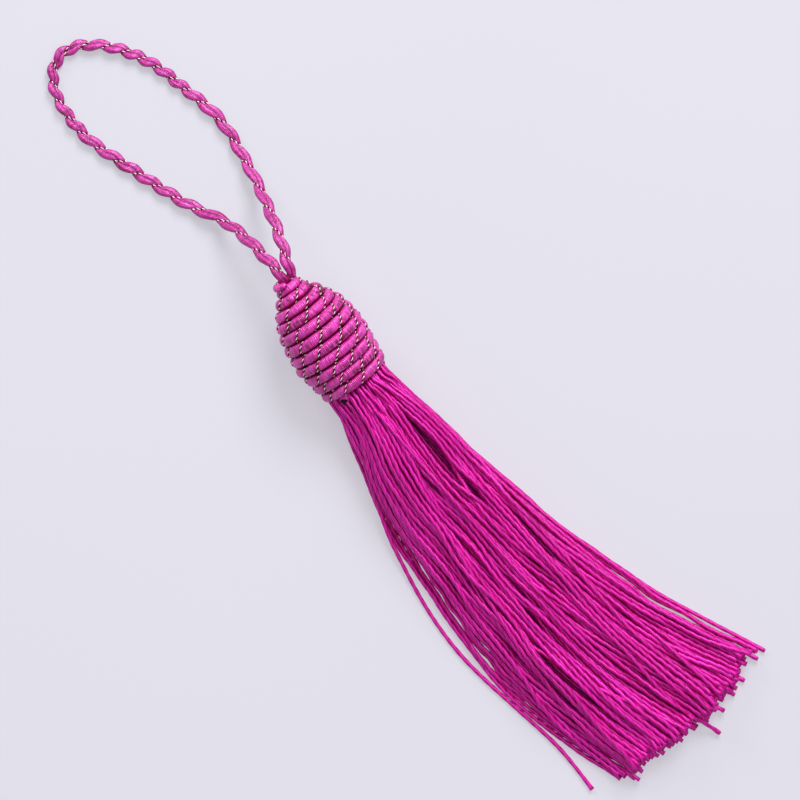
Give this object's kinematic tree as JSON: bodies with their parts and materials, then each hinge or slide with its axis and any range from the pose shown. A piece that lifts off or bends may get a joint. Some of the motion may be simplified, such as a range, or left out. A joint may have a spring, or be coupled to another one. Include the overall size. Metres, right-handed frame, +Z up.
{
  "type": "tassel pendant",
  "caption": "Tassel pendant: a loop of twisted cord, an egg-shaped head wound from satin cord and a long skirt of loose yarn, lying flat.",
  "frame": {"origin": "middle of the flat spot under the wound head, on the surface that the tassel lies on", "axes": "+X from the hanging loop to the loose end of the skirt, +Z up from the surface, +Y to the left when looking along +X"},
  "size_m": [0.1582, 0.0378, 0.0146],
  "materials": {
    "loop_satin": "glossy twisted satin cord with a fine gold and dark metallic thread laid in it",
    "head_satin": "satin covered cord, its thread crosswise, with a gold and dark metallic thread round it",
    "skirt_yarn": "plied rayon yarn with a soft silky sheen"
  },
  "bodies": {
    "root": {"loop_cord": "loop_satin", "wound_head": "head_satin", "yarn_skirt": "skirt_yarn"}
  },
  "joints": []
}
